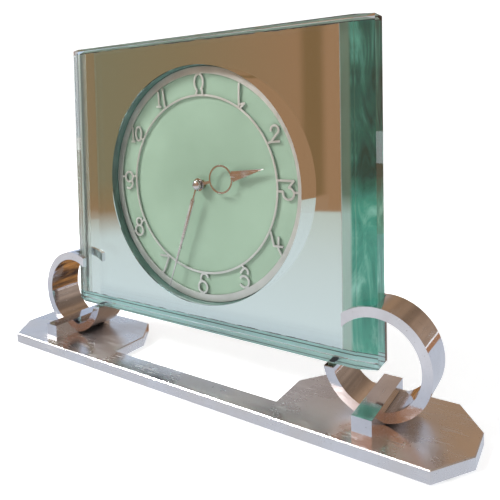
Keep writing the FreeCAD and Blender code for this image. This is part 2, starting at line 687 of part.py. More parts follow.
minute_wheel_front = cannon_teeth_front + 0.5
minute_wheel_back = minute_wheel_front + 1.0
pinion_front = hour_wheel_front - 0.4
minute_disc = wheel(MINUTE_TEETH, MOTION_MODULE, minute_wheel_front, minute_wheel_back,
                    mesh_phase(MINUTE_TEETH, motion_angle + 180, True))
minute_pinion = wheel(MINUTE_PINION_TEETH, HOUR_MODULE, pinion_front, minute_wheel_front,
                      mesh_phase(MINUTE_PINION_TEETH, motion_angle + 180, True))
post_r = 0.8
post_bore = rod(post_r + running, pinion_front - 1, minute_wheel_back + 1)
shape_node("minute_wheel", fused([minute_disc, minute_pinion]).cut(post_bore), placed(motion_at))
post = fused([rod(post_r, pinion_front - 0.1, plate1_back), rod(2.0, minute_wheel_back + 0.2, plate1_front)])
shape_node("minute_wheel_post", post, placed(motion_at))


# ---- going train: barrel, centre, third and escape wheels -----------------------------------

centre_front = plate1_back + 1.2
great_front = centre_front + 2.8
pinion_end = great_front + 2.6
centre_phase = mesh_phase(CENTRE_TEETH, third_angle, False)
centre_disc = wheel(CENTRE_TEETH, CENTRE_MODULE, centre_front, centre_front + 1.0, centre_phase)
centre_disc = crossed(centre_disc, centre_front, centre_front + 1.0, 3.4, 10.2)
centre_pinion_phase = mesh_phase(PINION_TEETH, barrel_angle, False)
centre_pinion = wheel(PINION_TEETH, GREAT_MODULE, centre_front, pinion_end, centre_pinion_phase)
centre_boss = rod(2.0, plate1_back + 0.3, centre_front)
centre = fused([centre_disc, centre_pinion, centre_boss])
shape_node("centre_wheel", centre.cut(rod(arbor_r + running, plate1_back, pinion_end + 1)), (0, 0, dial_z))


def arbor(front, back, radius=None):
    """A steel arbor with a turned-down pivot in each plate."""
    radius = radius or axle
    return fused([rod(pivot, front, back), rod(radius, plate1_back + 0.3, plate2_front - 0.3)])


third_front = pinion_end + 0.8
third_phase = mesh_phase(THIRD_TEETH, escape_angle, False)
third_disc = wheel(THIRD_TEETH, THIRD_MODULE, third_front, third_front + 0.8, third_phase)
third_disc = crossed(third_disc, third_front, third_front + 0.8, 2.6, 7.8)
third_pinion = wheel(PINION_TEETH, CENTRE_MODULE, centre_front - 0.6, centre_front + 1.6,
                     mesh_phase(PINION_TEETH, third_angle + 180, True))
third = fused([third_disc, third_pinion, arbor(plate1_front, plate2_back)])
shape_node("third_wheel", third, placed(third_at))

escape_front = third_front + 2.8
escape_r = size("escape_radius")
escape_points = []
for k in range(15):
    escape_points.append(polar(escape_r * 0.8, 24.0 * k))
    escape_points.append(polar(escape_r, 24.0 * k + 5.0))
    escape_points.append(polar(escape_r, 24.0 * k + 8.0))
    escape_points.append(polar(escape_r * 0.8, 24.0 * k + 12.0))
escape_disc = plate_from(escape_points, escape_front, escape_front + 0.6)
escape_disc = crossed(escape_disc, escape_front, escape_front + 0.6, 1.8, 3.3, width=0.7)
escape_pinion = wheel(PINION_TEETH, THIRD_MODULE, third_front - 0.6, third_front + 1.6,
                      mesh_phase(PINION_TEETH, escape_angle + 180, True))
escape = fused([escape_disc, escape_pinion, arbor(plate1_front, plate2_back)])
shape_node("escape_wheel", escape, placed(escape_at))

lever_front = escape_front - 0.2
lever_back = lever_front + 1.0
fork_end = balance_distance - 2.3
lever_bar = [(-fork_end, -0.9), (-fork_end, -0.35), (-fork_end + 1.2, -0.35), (-fork_end + 1.2, 0.35),
             (-fork_end, 0.35), (-fork_end, 0.9), (-fork_end + 1.6, 0.9), (-1.2, 0.5), (0.0, 1.0),
             (1.6, 4.9), (2.8, 4.6), (2.3, 3.9), (1.7, 3.7), (0.9, 1.0), (0.9, -1.0), (1.7, -3.7),
             (2.3, -3.9), (2.8, -4.6), (1.6, -4.9), (0.0, -1.0), (-1.2, -0.5), (-fork_end + 1.6, -0.9)]
lever_shape = plate_from(around(lever_bar, 180.0 - lever_angle), lever_front, lever_back)
shape_node("pallet_lever", fused([lever_shape, arbor(plate1_front, plate2_back, 0.55)]), placed(lever_at))

balance_r = size("balance_radius")
balance_front = lever_back + 0.9
balance_rim = tube(balance_r, balance_r - 1.0, balance_front, balance_front + 0.8)
balance_arm = block(-balance_r + 0.5, balance_r - 0.5, balance_front, balance_front + 0.8, -0.5, 0.5)
roller = rod(2.0, lever_back + 0.25, lever_back + 0.6)
impulse = rod(0.3, lever_front, lever_back + 0.25, *polar(1.5, lever_angle + 180))
staff = arbor(plate1_front, plate2_back, 0.7)
shape_node("balance_wheel", fused([balance_rim, balance_arm, roller, impulse, staff]), placed(balance_at))


def spiral(inner, outer, turns, width, front, back, per_turn=20):
    count = int(turns * per_turn)
    line = []
    for k in range(count + 1):
        radius = inner + (outer - inner) * k / count
        line.append((radius, 360.0 * k / per_turn))
    edge_in = [polar(r - width / 2, a) for r, a in line]
    edge_out = [polar(r + width / 2, a) for r, a in reversed(line)]
    return plate_from(edge_in + edge_out, front, back)


hair_front = balance_front + 1.0
hair = spiral(1.5, 4.4, 4.5, 0.16, hair_front, hair_front + 0.4)
hair_stud = block(-4.9, -3.9, hair_front, plate2_front, -0.4, 0.4)
shape_node("hairspring", fused([hair, hair_stud]), placed(balance_at))

barrel_r = size("barrel_radius")
barrel_back = great_front + 8.2
lid_back = barrel_back + 0.9
barrel_bore = size("barrel_arbor_radius") + running
barrel_phase = mesh_phase(BARREL_TEETH, barrel_angle + 180, True)
barrel_teeth = wheel(BARREL_TEETH, GREAT_MODULE, great_front, great_front + 1.4, barrel_phase)
drum = rod(barrel_r, great_front, barrel_back).cut(rod(barrel_r - 1.0, great_front + 1.4, barrel_back + 1))
barrel = fused([barrel_teeth, drum]).cut(rod(barrel_bore, great_front - 1, great_front + 3))
shape_node("mainspring_barrel", barrel, placed(barrel_at))
turned("barrel_lid", [(barrel_bore, 0), (barrel_r, 0), (barrel_r, lid_back - barrel_back),
                      (barrel_bore, lid_back - barrel_back)],
       (barrel_at[0], barrel_back, dial_z + barrel_at[1]))
coil = spiral(3.2, barrel_r - 1.3, 9, 0.4, great_front + 1.8, barrel_back - 0.5)
shape_node("mainspring", coil, placed(barrel_at))

square = size("square_side")
ratchet_front = plate2_back + 0.5
ratchet_back = ratchet_front + 1.2
cover_front = panel_back
cover_inner = cover_front + size("cover_depth") - size("cover_wall")
cover_back = cover_front + size("cover_depth")
key_back = -base_front
arbor_end = key_back - 9.5
drum_arbor = fused([
    rod(size("barrel_arbor_radius"), plate1_back + 0.3, plate2_front - 0.3),
    rod(1.5, plate1_front, ratchet_front),
    block(-square / 2, square / 2, ratchet_front - 0.4, arbor_end, -square / 2, square / 2)
    .common(rod(square * 0.62, ratchet_front - 0.4, arbor_end)),
])
shoulder = block(-4, 4, plate2_front, ratchet_front - 0.4, -4, 4)
drum_arbor = drum_arbor.cut(shoulder.cut(rod(1.5, plate2_front - 1, ratchet_front)))
shape_node("barrel_arbor", drum_arbor, placed(barrel_at))

ratchet_r = size("ratchet_radius")
ratchet_teeth = 24
tooth_angle = 360.0 / ratchet_teeth
ratchet_root = ratchet_r * 0.86
ratchet_points = []
for k in range(ratchet_teeth):
    ratchet_points.append(polar(ratchet_root, tooth_angle * k))
    ratchet_points.append(polar(ratchet_r, tooth_angle * (k + 0.92)))
ratchet = plate_from(ratchet_points, ratchet_front, ratchet_back)
square_hole = block(-square / 2, square / 2, ratchet_front - 1, ratchet_back + 1, -square / 2, square / 2)
square_hole = square_hole.common(rod(square * 0.62, ratchet_front - 1, ratchet_back + 1))
shape_node("ratchet_wheel", ratchet.cut(square_hole), placed(barrel_at))

click_at = (barrel_at[0] + 1.0, barrel_at[1] + 11.0)
click_tip = polar(ratchet_root + 0.26, tooth_angle * 3 + 1.6)
tip_x = click_tip[0] + barrel_at[0] - click_at[0]
tip_z = click_tip[1] + barrel_at[1] - click_at[1]
click_outline = [(-1.2, 0.8), (1.2, 1.2), (tip_x + 1.6, tip_z + 1.6), (tip_x, tip_z), (1.0, -1.6),
                 (-1.2, -1.0)]
click_plate = plate_from(click_outline, ratchet_front, ratchet_back)
click_body = fused([click_plate, rod(1.8, ratchet_front, ratchet_back)])
click_bore = rod(post_r + running, ratchet_front - 1, ratchet_back + 1)
shape_node("ratchet_click", click_body.cut(click_bore), placed(click_at))
click_post = fused([rod(0.8, plate2_back, ratchet_back), rod(1.5, ratchet_back, ratchet_back + 0.5),
                    rod(1.3, plate2_back, ratchet_front)])
shape_node("click_post", click_post, placed(click_at))


# ---- movement plates, pillars, nuts and feet ------------------------------------------------

plate_r = size("plate_radius")
pillar_places = [polar(size("pillar_circle"), a) for a in (70, 160, 250, 340)]
foot_places = [polar(size("pillar_circle"), a) for a in (25, 135, 275)]
pivots = [third_at, escape_at, lever_at, balance_at]

front_holes = [rod(arbor_r + running, plate1_front - 1, plate1_back + 1)]
back_holes = [rod(arbor_r + running, plate2_front - 1, plate2_back + 1)]
for x, z in pivots:
    front_holes.append(rod(pivot + running, plate1_front - 1, plate1_back + 1, x, z))
    back_holes.append(rod(pivot + running, plate2_front - 1, plate2_back + 1, x, z))
front_holes.append(rod(1.5 + running, plate1_front - 1, plate1_back + 1, *barrel_at))
back_holes.append(rod(1.5 + running, plate2_front - 1, plate2_back + 1, *barrel_at))
front_holes.append(rod(post_r, plate1_front - 1, plate1_back + 1, *motion_at))
for x, z in pillar_places:
    back_holes.append(rod(1.0, plate2_front - 1, plate2_back + 1, x, z))
for x, z in foot_places:
    front_holes.append(rod(1.0, plate1_front - 1, plate1_back + 1, x, z))
shape_node("movement_front_plate", rod(plate_r, plate1_front, plate1_back).cut(front_holes), (0, 0, dial_z))
shape_node("movement_back_plate", rod(plate_r, plate2_front, plate2_back).cut(back_holes), (0, 0, dial_z))

pillar_r = size("pillar_radius")
pillars = [
    fused([rod(pillar_r, plate1_back, plate2_front, x, z), rod(1.0, plate2_front, plate2_back + 1.6, x, z)])
    for x, z in pillar_places
]
shape_node("movement_pillars", Part.makeCompound(pillars), (0, 0, dial_z))
nuts = []
for x, z in pillar_places:
    hexagon = [(x + px, z + pz) for px, pz in (polar(2.6, 60 * k) for k in range(6))]
    nut = plate_from(hexagon, plate2_back, plate2_back + 1.5)
    nuts.append(nut.cut(rod(1.0, plate2_back - 1, plate2_back + 3, x, z)))
shape_node("pillar_nuts", Part.makeCompound(nuts), (0, 0, dial_z))
posts = []
for x, z in foot_places:
    post_body = rod(size("foot_post_radius"), pan_back, plate1_front, x, z)
    posts.append(fused([post_body, rod(1.0, plate1_front, plate1_back + 0.6, x, z)]))
shape_node("dial_feet", Part.makeCompound(posts), (0, 0, dial_z))


# ---- rear cover with its knob, key and regulator --------------------------------------------

cover_r = size("cover_radius")
wall = size("cover_wall")
depth = size("cover_depth")
flange = size("flange_radius")
cover_profile = [
    (cover_r - wall, 0), (flange, 0), (flange, 1.2), (cover_r, 1.2), (cover_r, depth - 2.0),
    (cover_r - 2.0, depth), (0, depth), (0, depth - wall), (cover_r - 2.4, depth - wall),
    (cover_r - wall, depth - 2.4),
]
cover = turned("movement_cover", cover_profile, (0, cover_front, dial_z))
regulator_pin = 13.0
slot_z = balance_at[1] + regulator_pin
cover_holes = [
    ("circle", 0, 0, 2.0), ("circle", barrel_at[0], barrel_at[1], 4.2),
    [(balance_at[0] - 5.6, slot_z - 2.3), (balance_at[0] + 5.6, slot_z - 2.3),
     (balance_at[0] + 5.6, slot_z + 1.8), (balance_at[0] - 5.6, slot_z + 1.8)],
]
pocket_back(cover, cover_holes, depth - 3.0, 3.5)
flange_holes = [("circle", x, z, size("pan_screw_radius") + 0.1) for x, z in flange_places]
pocket_back(cover, flange_holes, 0, 1.2)
cover_screws = [
    cheese_screw(x, z, cover_front + 1.2, panel_back - thread, size("pan_screw_radius"))
    for x, z in flange_places
]
shape_node("cover_screws", Part.makeCompound(cover_screws), (0, 0, dial_z))

regulator_front = plate2_back + 0.4
regulator = fused([
    rod(2.2, regulator_front, regulator_front + 0.7),
    block(-0.8, 0.8, regulator_front, regulator_front + 0.7, 0, regulator_pin),
    rod(1.2, regulator_front, cover_back + 2.2, 0, regulator_pin),
])
regulator_bore = rod(post_r + running, regulator_front - 1, regulator_front + 2)
shape_node("regulator_lever", regulator.cut(regulator_bore), placed(balance_at))
regulator_post = fused([
    rod(1.4, plate2_back, regulator_front), rod(post_r, regulator_front, regulator_front + 0.8),
    rod(1.4, regulator_front + 0.8, regulator_front + 1.2),
])
shape_node("regulator_post", regulator_post, placed(balance_at))

knob_front = cover_back + 1.0
knob_back = knob_front + size("knob_length")
turned("centre_arbor", [(0, 0), (arbor_r, 0), (arbor_r, knob_back - 1.5 - nut_back + 0.9),
                        (0, knob_back - 1.5 - nut_back + 0.9)], (0, nut_back - 0.9, dial_z))
knob_r = size("knob_radius")
knob = rod(knob_r, knob_front, knob_back)
flutes = [rod(0.55, knob_front + 1, knob_back + 1, *polar(knob_r + 0.15, 18 * k)) for k in range(20)]
knob = fused([knob.cut(flutes), rod(3.0, knob_front - 0.6, knob_front)])
shape_node("set_knob", knob.cut(rod(arbor_r, knob_front - 2, knob_back - 1.5)), (0, 0, dial_z))

key_front = cover_back - 2.5
key_stem = rod(3.0, key_front, key_back - 8.5)
wing_r = 5.6
wing_x = size("key_span") / 2 - wing_r
wings = []
for _, side in sides:
    wing = tube(wing_r, wing_r - 2.0, -0.9, 0.9)
    wing.rotate(Vector(0, 0, 0), Vector(1, 0, 0), 90)
    wing.translate(Vector(side * wing_x, key_back - wing_r, 0))
    wings.append(wing)
key = fused([key_stem, rod(2.0, key_back - 8.5, key_back - 3.0)] + wings)
key_socket = block(-square / 2, square / 2, key_front - 1, arbor_end, -square / 2, square / 2)
key_socket = key_socket.common(rod(square * 0.62, key_front - 1, arbor_end))
shape_node("winding_key", key.cut(key_socket), placed(barrel_at))

doc.recompute()

# ---- check and write ------------------------------------------------------------------------

problems = [o.Name for o in doc.Objects if "Invalid" in o.State or "Error" in o.State]
if problems:
    raise RuntimeError("features with errors: " + ", ".join(problems))
os.makedirs("parts", exist_ok=True)
for label, item in made.items():
    shape = item.Shape
    if shape.isNull() or not shape.isValid() or shape.Volume <= 0:
        raise RuntimeError("bad shape: " + label)
    shape.exportStep("parts/%s.step" % label)
    box = shape.BoundBox
    print("%-22s solids %2d  volume %9.1f  x %7.1f %7.1f  y %6.1f %6.1f  z %6.1f %6.1f" % (
        label, len(shape.Solids), shape.Volume, box.XMin, box.XMax, box.YMin, box.YMax, box.ZMin, box.ZMax))
print("nodes", len(made))
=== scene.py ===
import math

import bpy
from mathutils import Matrix, Vector, noise


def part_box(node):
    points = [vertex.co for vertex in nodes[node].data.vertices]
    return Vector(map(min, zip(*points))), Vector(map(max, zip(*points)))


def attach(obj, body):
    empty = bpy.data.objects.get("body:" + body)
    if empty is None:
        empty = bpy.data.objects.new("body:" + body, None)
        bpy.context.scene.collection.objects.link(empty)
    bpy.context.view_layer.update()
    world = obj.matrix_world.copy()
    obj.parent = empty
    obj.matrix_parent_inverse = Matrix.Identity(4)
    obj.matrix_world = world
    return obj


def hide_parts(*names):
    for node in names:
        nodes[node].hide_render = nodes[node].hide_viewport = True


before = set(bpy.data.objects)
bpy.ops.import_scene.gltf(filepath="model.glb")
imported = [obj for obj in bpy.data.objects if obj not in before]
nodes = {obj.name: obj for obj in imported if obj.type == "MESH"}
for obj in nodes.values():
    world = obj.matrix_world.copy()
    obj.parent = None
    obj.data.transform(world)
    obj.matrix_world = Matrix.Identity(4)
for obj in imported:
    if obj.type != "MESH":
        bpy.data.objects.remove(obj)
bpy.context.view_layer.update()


# ---------------------------------------------------------------------------
# Base plate: one thick brass plate, sawn to a narrow strip between two wide
# lobes with clipped corners, its top edge filed to a small chamfer. It is
# nickelled and chromed all over, and years of wiping have clouded the top.

class Finish:
    """A Principled shader whose patterns lie on the piece in metres, about a centre of its own."""

    def __init__(self, name, colour, metal=0.0, rough=0.5, centre=(0, 0, 0), **more):
        self.material = bpy.data.materials.new(name)
        self.material.use_nodes = True
        self.tree = self.material.node_tree
        self.shader = self.tree.nodes["Principled BSDF"]
        moved = self.tree.nodes.new("ShaderNodeMapping")
        moved.inputs["Location"].default_value = [-along for along in centre]
        on_piece = self.tree.nodes.new("ShaderNodeTexCoord")
        self.join(moved.inputs["Vector"], on_piece.outputs["Object"])
        self.place = moved.outputs["Vector"]
        self.put("Base Color", (*colour, 1.0))
        self.put("Metallic", metal)
        self.put("Roughness", rough)
        for socket, value in more.items():
            self.put(socket.replace("_", " "), value)

    def put(self, socket, value):
        self.join(self.shader.inputs[socket], value)

    def join(self, socket, value):
        if isinstance(value, bpy.types.NodeSocket):
            self.tree.links.new(value, socket)
        else:
            socket.default_value = value

    def grain(self, scale, detail=4.0, rough=0.55, stretch=(1, 1, 1), warp=0.0):
        """Cloudy grain, `scale` lumps to the metre, squeezed along the axes by `stretch`."""
        squeezed = self.tree.nodes.new("ShaderNodeMapping")
        squeezed.inputs["Scale"].default_value = stretch
        self.join(squeezed.inputs["Vector"], self.place)
        made = self.tree.nodes.new("ShaderNodeTexNoise")
        self.join(made.inputs["Vector"], squeezed.outputs["Vector"])
        settings = (("Scale", scale), ("Detail", detail), ("Roughness", rough), ("Distortion", warp))
        for socket, value in settings:
            made.inputs[socket].default_value = value
        return made.outputs["Fac"]

    def lathe_rings(self, per_metre, wobble=0.4):
        """Fine rings left by a lathe, about the front-to-back axis."""
        made = self.tree.nodes.new("ShaderNodeTexWave")
        made.wave_type = "RINGS"
        made.rings_direction = "Y"
        self.join(made.inputs["Vector"], self.place)
        settings = (("Scale", per_metre), ("Distortion", wobble), ("Detail", 2.0), ("Detail Scale", 3.0))
        for socket, value in settings:
            made.inputs[socket].default_value = value
        return made.outputs["Fac"]

    def ramp(self, value, *stops):
        made = self.tree.nodes.new("ShaderNodeValToRGB")
        while len(made.color_ramp.elements) < len(stops):
            made.color_ramp.elements.new(0.5)
        for element, (at, colour) in zip(made.color_ramp.elements, stops):
            element.position = at
            element.color = (colour,) * 3 + (1,) if isinstance(colour, (int, float)) else (*colour, 1)
        self.join(made.inputs["Fac"], value)
        return made.outputs["Color"]

    def blend(self, amount, first, second, kind="MIX"):
        made = self.tree.nodes.new("ShaderNodeMix")
        made.data_type = "RGBA"
        made.blend_type = kind
        self.join(made.inputs[0], amount)
        for socket, value in ((made.inputs[6], first), (made.inputs[7], second)):
            self.join(socket, (*value, 1) if isinstance(value, tuple) else value)
        return made.outputs[2]

    def sum(self, kind, first, second):
        made = self.tree.nodes.new("ShaderNodeMath")
        made.operation = kind
        self.join(made.inputs[0], first)
        self.join(made.inputs[1], second)
        return made.outputs[0]

    def along(self, letter, start, end):
        """0 to 1 between two places along an axis, held at the ends."""
        split = self.tree.nodes.new("ShaderNodeSeparateXYZ")
        self.join(split.inputs[0], self.place)
        made = self.tree.nodes.new("ShaderNodeMapRange")
        self.join(made.inputs["Value"], split.outputs[letter])
        made.inputs["From Min"].default_value = start
        made.inputs["From Max"].default_value = end
        return made.outputs["Result"]

    def relief(self, height, depth, strength=1.0):
        made = self.tree.nodes.new("ShaderNodeBump")
        made.inputs["Distance"].default_value = depth
        made.inputs["Strength"].default_value = strength
        self.join(made.inputs["Height"], height)
        self.put("Normal", made.outputs["Normal"])


def dress(finish, *names):
    for name in names:
        materials = nodes[name].data.materials
        materials.clear()
        materials.append(finish.material)


def soften(width, *names, steps=2):
    """Round a piece's sharp edges, as filing and polishing do."""
    for name in names:
        piece = nodes[name] if isinstance(name, str) else name
        edge = piece.modifiers.new("softened edges", "BEVEL")
        edge.width = width
        edge.segments = steps
        edge.limit_method = "ANGLE"
        edge.angle_limit = math.radians(35)
        piece.modifiers.new("even shading", "WEIGHTED_NORMAL").keep_sharp = False


def chrome(name, bright, cloudy, clouds=30, clear=0.05, dull=0.26, wipe=(0.12, 1, 1), centre=(0, 0, 0)):
    """Old chrome plate: clear to cloudy in patches, with wiping scratches and a few dark pits."""
    plate = Finish(name, bright, metal=1.0, centre=centre)
    patches = plate.grain(clouds, detail=6)
    scratches = plate.grain(420, detail=6, stretch=wipe)
    pits = plate.ramp(plate.grain(1500, detail=2), (0.24, 0.0), (0.30, 1.0))
    tone = plate.ramp(patches, (0.32, bright), (0.70, cloudy))
    plate.put("Base Color", plate.blend(pits, (0.20, 0.17, 0.14), tone))
    rough = plate.ramp(patches, (0.35, clear), (0.52, (clear + dull) / 2), (0.68, dull))
    scored = plate.ramp(scratches, (0.55, 0.0), (0.75, 0.22))
    plate.put("Roughness", plate.sum("ADD", rough, scored))
    plate.relief(plate.sum("ADD", scratches, pits), 0.000012, 0.6)
    return plate


plate_chrome = chrome("cloudy chrome plate", (0.88, 0.87, 0.89), (0.74, 0.71, 0.69), clear=0.17, dull=0.40)
dress(plate_chrome, "base_plate")


# ---------------------------------------------------------------------------
# Felt pads: discs of green pressed felt glued under the base, and two small
# squares of it between the bracket rings and the glass that sits on them.

def islands(name):
    """The boxes of the separate solids in a node, as (low, high) corners."""
    boxes = []
    mesh = nodes[name].data
    for face in mesh.polygons:
        points = [mesh.vertices[k].co for k in face.vertices]
        low = Vector(map(min, zip(*points)))
        high = Vector(map(max, zip(*points)))
        apart = []
        for other_low, other_high in boxes:
            if all(low[k] <= other_high[k] + 1e-5 and high[k] >= other_low[k] - 1e-5 for k in range(3)):
                low = Vector(map(min, zip(low, other_low)))
                high = Vector(map(max, zip(high, other_high)))
            else:
                apart.append((other_low, other_high))
        boxes = apart + [(low, high)]
    return boxes


def new_piece(name, points, faces, body, finish, stands_for=None):
    mesh = bpy.data.meshes.new(name)
    mesh.from_pydata(points, [], faces)
    mesh.polygons.foreach_set("use_smooth", [True] * len(mesh.polygons))
    made = bpy.data.objects.new(name, mesh)
    bpy.context.scene.collection.objects.link(made)
    mesh.materials.append(finish.material)
    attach(made, body)
    if stands_for:
        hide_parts(stands_for)
    return made


def felt_lump(low, high, round_plan, rim=0.0003, steps=40):
    """A small felt pad with soft rounded edges, a little fuzzy all over."""
    middle = (low + high) / 2
    reach = (high - low) / 2
    points = []
    faces = []
    levels = [(0.0, low.z), (0.6, low.z), (1 - rim / reach.x, low.z), (1.0, low.z + rim), (1.0, high.z - rim),
              (1 - rim / reach.x, high.z), (0.6, high.z), (0.0, high.z)]
    for share, z in levels:
        for k in range(steps):
            angle = 2 * math.pi * (k + 0.5) / steps
            x, y = math.cos(angle), math.sin(angle)
            if not round_plan:
                stretch = 1 / max(abs(x), abs(y))
                x, y = x * stretch, y * stretch
            fuzz = 1 - 0.012 * (1 + noise.noise(Vector((x * 9, y * 9, z * 3000))))
            out = share * fuzz
            points.append((middle.x + x * reach.x * out, middle.y + y * reach.y * out, z))
    for level in range(len(levels) - 1):
        for k in range(steps):
            n = (k + 1) % steps
            below, above = level * steps, (level + 1) * steps
            faces.append((below + k, below + n, above + n, above + k))
    return points, faces


def gather(parts):
    """Several point and face lists as one."""
    points = []
    faces = []
    for more_points, more_faces in parts:
        faces += [tuple(k + len(points) for k in face) for face in more_faces]
        points += more_points
    return points, faces


pad_felt = Finish("pressed felt", (0.06, 0.10, 0.06), rough=0.95, Sheen_Weight=0.5)
fibres = pad_felt.grain(2600, detail=6)
pad_felt.put("Base Color", pad_felt.ramp(fibres, (0.3, (0.035, 0.06, 0.035)), (0.7, (0.10, 0.15, 0.09))))
pad_felt.relief(fibres, 0.0002, 0.8)
for node, round_plan in (("base_pads", True), ("support_pads", False)):
    points, faces = gather([felt_lump(low, high, round_plan) for low, high in islands(node)])
    new_piece(node.replace("pads", "felts"), points, faces, "clock_case", pad_felt, node)


# ---------------------------------------------------------------------------
# Screws, nuts and studs: turned mild steel with a slot or flats, tightened
# by hand. They hold the brackets, the rear board, the dial and the cover.

screw_steel = Finish("turned screw steel", (0.52, 0.51, 0.50), metal=1.0)
spots = screw_steel.grain(900)
screw_steel.put("Roughness", screw_steel.ramp(spots, (0.3, 0.22), (0.7, 0.45)))
screw_steel.put("Base Color", screw_steel.ramp(spots, (0.35, (0.56, 0.55, 0.54)), (0.75, (0.36, 0.31, 0.26))))
screw_steel.relief(screw_steel.grain(3500, detail=3), 0.00002, 0.5)
screw_nodes = ("base_screws", "lip_screws", "pan_screws", "cover_screws", "pillar_nuts")
dress(screw_steel, *screw_nodes, "pan_studs")
soften(0.00012, *screw_nodes)


# ---------------------------------------------------------------------------
# Bracket rings and bars: two open rings cut from chromed brass tube, slotted
# to grip the lower corners of the glass, each let into a saddle across a
# square chromed bar that is screwed down through the base.

ring_chrome = chrome("bright chrome plate", (0.80, 0.80, 0.84), (0.70, 0.69, 0.72), clouds=55, dull=0.14,
                     wipe=(1, 0.15, 1))
brackets = [kind + side for kind in ("bracket_ring_", "bracket_bar_") for side in ("left", "right")]
dress(ring_chrome, *brackets)
soften(0.0004, *brackets)


# ---------------------------------------------------------------------------
# Glass slab: polished plate with a faint green tint, its two ends ground to
# wide bevels and all its edges taken off with a stone. The dial's hole is
# cut right through it.

slab_glass = Finish("green plate glass", (1.0, 1.0, 1.0), rough=0.0, IOR=1.52, Transmission_Weight=1.0)
handling = slab_glass.ramp(slab_glass.grain(700, detail=8, stretch=(1, 1, 0.2)), (0.70, 0.0), (0.86, 0.03))
slab_glass.put("Roughness", handling)
slab_glass.relief(slab_glass.grain(9, detail=1), 0.0001, 0.25)
tint = slab_glass.tree.nodes.new("ShaderNodeVolumeAbsorption")
tint.inputs["Color"].default_value = (0.15, 0.80, 0.68, 1)
tint.inputs["Density"].default_value = 6.5
slab_glass.join(slab_glass.tree.nodes["Material Output"].inputs["Volume"], tint.outputs["Volume"])
dress(slab_glass, "glass_slab")
soften(0.0006, "glass_slab")


# ---------------------------------------------------------------------------
# Silvering: the mirror coat on the back of the glass, a film of silver. It
# stops short of the edges, and its top and bottom borders have flaked. Past
# its right end and along its foot the sheet carries painted light: the teal
# glow of the lit glass edge, brighter towards the bottom.

def holed_sheet(half_width, low, high, front, back, centre, radius, sides=128):
    """A flat sheet with a round hole, lying between front and back."""
    angles = [2 * math.pi * (k + 0.5) / sides for k in range(sides)]
    rims = []
    for y in (front, back):
        hole = [(radius * math.cos(a), y, centre + radius * math.sin(a)) for a in angles]
        edge = []
        for a in angles:
            reach = min(half_width / max(abs(math.cos(a)), 1e-9),
                        (high - centre if math.sin(a) > 0 else centre - low) / max(abs(math.sin(a)), 1e-9))
            edge.append((reach * math.cos(a), y, centre + reach * math.sin(a)))
        rims += hole + edge
    faces = []
    for k in range(sides):
        n = (k + 1) % sides
        faces += [(k, n, sides + n, sides + k), (2 * sides + n, 2 * sides + k, 3 * sides + k, 3 * sides + n),
                  (n, k, 2 * sides + k, 2 * sides + n), (sides + k, sides + n, 3 * sides + n, 3 * sides + k)]
    return rims, faces


silver_low, silver_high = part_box("mirror_silvering")
hole_radius = 0.0733
dial_height = 0.119
glass_low, glass_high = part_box("glass_slab")
bite = 0.00004
flake_depth = 0.0014
margin = 0.0003

end_bared = 0.0920
end_pale = -0.1095
end_hazed = -0.1045
glow_brightens_below = (0.128, 0.112)
strip_glow_brightens_below = (0.118, 0.108)
strip_ends = 0.0050
strip_fades = 0.0065
foot_line_from = 0.0014
foot_line_to = 0.0022
line_softness = 0.0002

bright_silver = (0.88, 0.90, 0.90)
hazy_silver = (0.80, 0.84, 0.82)
silver = Finish("silvering", bright_silver, metal=1.0, rough=0.02)
ragged = silver.grain(160, detail=6, rough=0.7)
near_top = silver.along("Z", silver_high[2] - 1.6 * flake_depth, silver_high[2] - 0.1 * flake_depth)
near_foot = silver.along("Z", silver_low[2] + flake_depth, silver_low[2])
near_edge = silver.sum("MAXIMUM", near_top, near_foot)
flaked = silver.ramp(silver.sum("MULTIPLY", near_edge, ragged), (0.40, 0.0), (0.44, 1.0))
bared = silver.along("X", end_bared, end_bared + 0.0008)
paled = silver.along("X", end_pale, end_pale - 0.0015)
hazed = silver.along("X", end_hazed + 0.0004, end_hazed)
lost = silver.sum("MAXIMUM", flaked, silver.sum("MAXIMUM", bared, paled))
silver.put("Metallic", silver.ramp(silver.sum("MAXIMUM", lost, silver.sum("MULTIPLY", hazed, 0.35)),
                                   (0.0, 1.0), (1.0, 0.0)))
# Painted light: past the right end of the silver the sheet shows the teal glow of the lit ground glass edge,
# seen through the bevel, mottled and brighter towards the bottom.
streaked = silver.grain(60, detail=6, rough=0.6, stretch=(1.6, 1, 0.45), warp=1.2)
dim_edge_glow = silver.ramp(streaked, (0.30, (0.006, 0.035, 0.028)), (0.52, (0.03, 0.14, 0.11)),
                          (0.72, (0.12, 0.42, 0.33)))
bright_edge_glow = silver.ramp(streaked, (0.28, (0.02, 0.20, 0.15)), (0.50, (0.09, 0.46, 0.36)),
                          (0.70, (0.45, 0.85, 0.76)))
painted_edge_glow = silver.blend(silver.along("Z", *glow_brightens_below), dim_edge_glow, bright_edge_glow)
# A paler grey-green strip of painted glow lies next to the bevel, also brighter towards the bottom.
near_bevel = silver.along("X", end_bared + strip_fades, end_bared + strip_ends)
painted_strip_glow = silver.blend(silver.along("Z", *strip_glow_brightens_below), (0.19, 0.25, 0.19), (0.66, 0.78, 0.75))
painted_glow = silver.blend(silver.sum("MULTIPLY", near_bevel, 0.9), painted_edge_glow, painted_strip_glow)
over_top = silver.along("Z", silver_high[2] - 0.0001, silver_high[2] + 0.0001)
under_foot = silver.along("Z", silver_low[2], silver_low[2] - 0.0002)
line_top = silver_low[2] - foot_line_from
line_foot = silver_low[2] - foot_line_to
foot_line = silver.sum("MULTIPLY", silver.along("Z", line_top, line_top - line_softness),
                       silver.along("Z", line_foot, line_foot + line_softness))
border = silver.sum("MAXIMUM", over_top, under_foot)
